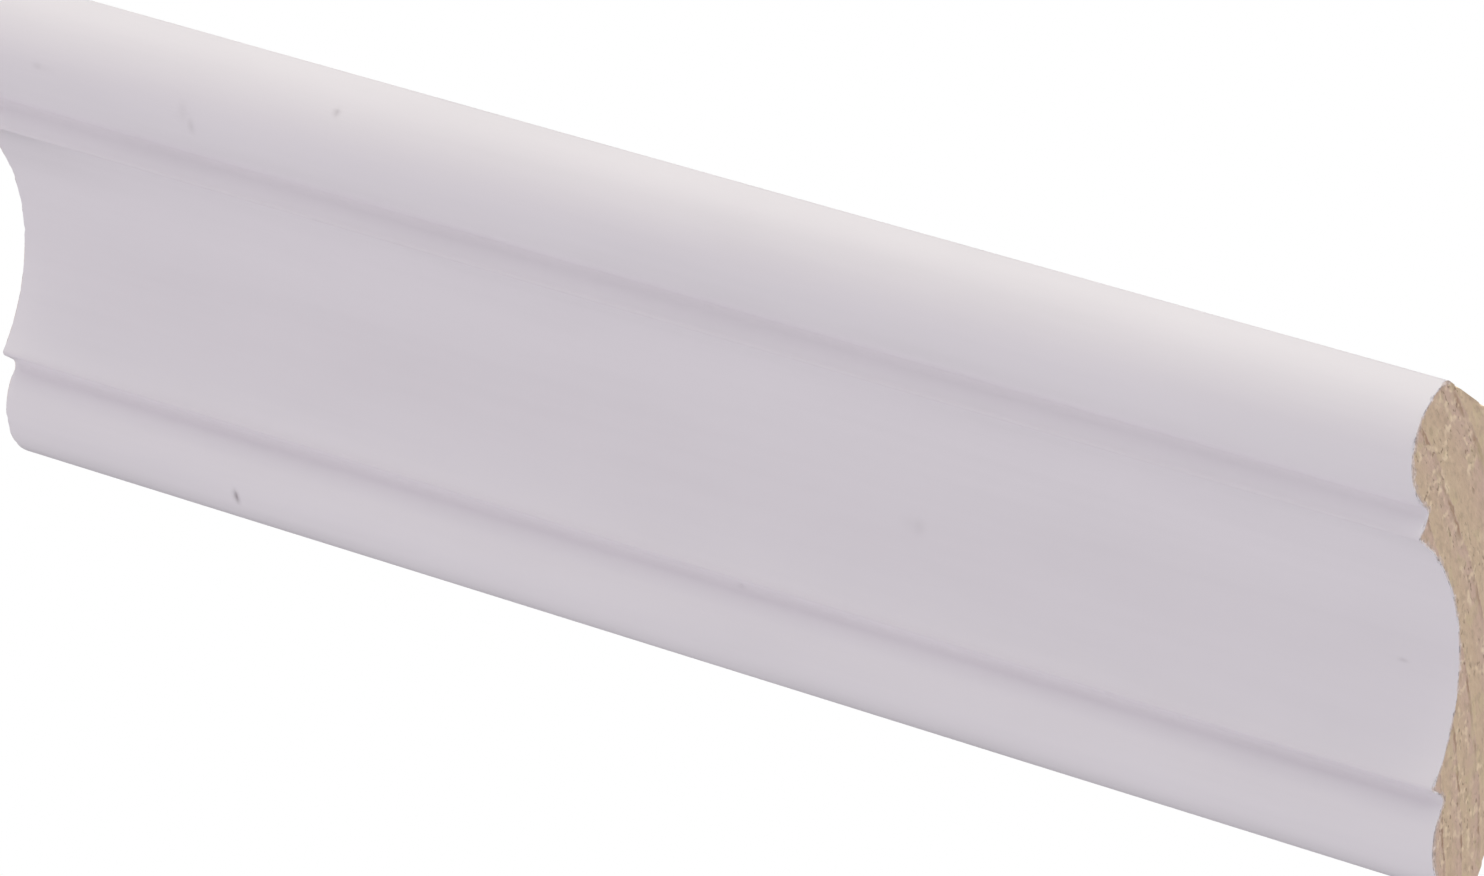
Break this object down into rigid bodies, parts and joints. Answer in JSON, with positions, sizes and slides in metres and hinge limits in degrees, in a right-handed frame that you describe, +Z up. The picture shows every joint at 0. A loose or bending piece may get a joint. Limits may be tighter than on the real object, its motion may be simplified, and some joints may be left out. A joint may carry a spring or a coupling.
{
  "type": "crown moulding length",
  "caption": "Straight length of painted softwood crown moulding: a cove between grooved round beads, bevelled behind to fit the corner of wall and ceiling.",
  "frame": {"origin": "middle of the narrow bevelled face that lies against the wall, at mid-length", "axes": "as fitted: +X along the length, +Y into the wall, +Z up to the ceiling, so the moulded front looks out into the room and down at 45 degrees"},
  "size_m": [0.22, 0.052, 0.052],
  "materials": {
    "painted_softwood": "smooth white satin paint with faint lengthwise streaks and a few small dents on the moulded front; bare pine on the sawn ends, the two bevels and the back flat"
  },
  "bodies": {
    "root": {"moulding_length": "painted_softwood"}
  },
  "joints": []
}
